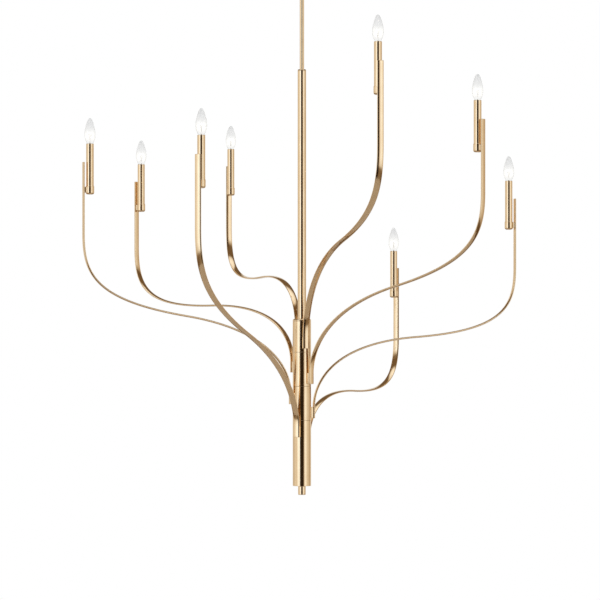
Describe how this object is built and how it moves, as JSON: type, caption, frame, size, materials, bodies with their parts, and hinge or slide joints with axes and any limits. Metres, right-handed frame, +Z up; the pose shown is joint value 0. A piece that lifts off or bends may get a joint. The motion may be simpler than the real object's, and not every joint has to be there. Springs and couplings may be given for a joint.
{
  "type": "multi arm chandelier",
  "caption": "Stem-hung chandelier with a central hub, S-curved flat arms at different heights and upright candle lights with torpedo bulbs.",
  "frame": {"origin": "centre of the mounting bar's upper face, on the ceiling plane and on the stem's axis", "axes": "+Z up towards the ceiling along the stem; -Y is the front that the picture shows; +X is its right"},
  "size_m": [1.2737, 1.2444, 1.6023],
  "materials": {
    "champagne_brass": "polished champagne brass, clear lacquered",
    "plated_steel": "zinc plated, satin",
    "socket_plastic": "matt cream phenolic",
    "bulb_glass": "clear glass"
  },
  "bodies": {
    "frame": {"mounting_bar": "plated_steel", "ceiling_nipple": "plated_steel", "lock_nut": "plated_steel", "canopy": "champagne_brass", "canopy_ring": "champagne_brass", "canopy_screw_1": "champagne_brass", "canopy_screw_2": "champagne_brass", "stem_rod": "champagne_brass", "sleeve_cap": "champagne_brass", "sleeve_tube": "champagne_brass", "stem_coupler": "plated_steel", "core_pipe": "plated_steel", "hub_cap": "champagne_brass", "collar_1": "champagne_brass", "hub_base": "champagne_brass", "finial_washer": "plated_steel", "arm_1": "champagne_brass", "candle_cup_1": "champagne_brass", "candle_tube_1": "champagne_brass", "lamp_socket_1": "socket_plastic", "arm_2": "champagne_brass", "candle_cup_2": "champagne_brass", "candle_tube_2": "champagne_brass", "lamp_socket_2": "socket_plastic"},
    "collar_2_pair": {"collar_2": "champagne_brass", "arm_3": "champagne_brass", "candle_cup_3": "champagne_brass", "candle_tube_3": "champagne_brass", "lamp_socket_3": "socket_plastic", "arm_4": "champagne_brass", "candle_cup_4": "champagne_brass", "candle_tube_4": "champagne_brass", "lamp_socket_4": "socket_plastic"},
    "collar_3_pair": {"collar_3": "champagne_brass", "arm_5": "champagne_brass", "candle_cup_5": "champagne_brass", "candle_tube_5": "champagne_brass", "lamp_socket_5": "socket_plastic", "arm_6": "champagne_brass", "candle_cup_6": "champagne_brass", "candle_tube_6": "champagne_brass", "lamp_socket_6": "socket_plastic"},
    "collar_4_pair": {"collar_4": "champagne_brass", "arm_7": "champagne_brass", "candle_cup_7": "champagne_brass", "candle_tube_7": "champagne_brass", "lamp_socket_7": "socket_plastic", "arm_8": "champagne_brass", "candle_cup_8": "champagne_brass", "candle_tube_8": "champagne_brass", "lamp_socket_8": "socket_plastic"},
    "finial": {"finial": "champagne_brass"},
    "bulb_1": {"bulb_1": "bulb_glass"},
    "bulb_2": {"bulb_2": "bulb_glass"},
    "bulb_3": {"bulb_3": "bulb_glass"},
    "bulb_4": {"bulb_4": "bulb_glass"},
    "bulb_5": {"bulb_5": "bulb_glass"},
    "bulb_6": {"bulb_6": "bulb_glass"},
    "bulb_7": {"bulb_7": "bulb_glass"},
    "bulb_8": {"bulb_8": "bulb_glass"}
  },
  "joints": [
    {"name": "collar_2_turn", "type": "hinge", "parent": "frame", "child": "collar_2_pair", "pos_m": [0, 0, -1.2], "axis": [0, 0, 1], "range_deg": [-23, 10]},
    {"name": "collar_3_turn", "type": "hinge", "parent": "collar_2_pair", "child": "collar_3_pair", "pos_m": [0, 0, -1.2], "axis": [0, 0, 1], "range_deg": [-46, 12]},
    {"name": "collar_4_turn", "type": "hinge", "parent": "collar_3_pair", "child": "collar_4_pair", "pos_m": [0, 0, -1.2], "axis": [0, 0, 1], "range_deg": [-40, 12]},
    {"name": "finial_turn", "type": "hinge", "parent": "frame", "child": "finial", "pos_m": [0, 0, -1.59], "axis": [0, 0, 1], "continuous": true},
    {"name": "bulb_1_lift", "type": "slide", "parent": "frame", "child": "bulb_1", "axis": [0, 0, 1], "range_m": [0, 0.045]},
    {"name": "bulb_2_lift", "type": "slide", "parent": "frame", "child": "bulb_2", "axis": [0, 0, 1], "range_m": [0, 0.045]},
    {"name": "bulb_3_lift", "type": "slide", "parent": "collar_2_pair", "child": "bulb_3", "axis": [0, 0, 1], "range_m": [0, 0.045]},
    {"name": "bulb_4_lift", "type": "slide", "parent": "collar_2_pair", "child": "bulb_4", "axis": [0, 0, 1], "range_m": [0, 0.045]},
    {"name": "bulb_5_lift", "type": "slide", "parent": "collar_3_pair", "child": "bulb_5", "axis": [0, 0, 1], "range_m": [0, 0.045]},
    {"name": "bulb_6_lift", "type": "slide", "parent": "collar_3_pair", "child": "bulb_6", "axis": [0, 0, 1], "range_m": [0, 0.045]},
    {"name": "bulb_7_lift", "type": "slide", "parent": "collar_4_pair", "child": "bulb_7", "axis": [0, 0, 1], "range_m": [0, 0.045]},
    {"name": "bulb_8_lift", "type": "slide", "parent": "collar_4_pair", "child": "bulb_8", "axis": [0, 0, 1], "range_m": [0, 0.045]}
  ]
}
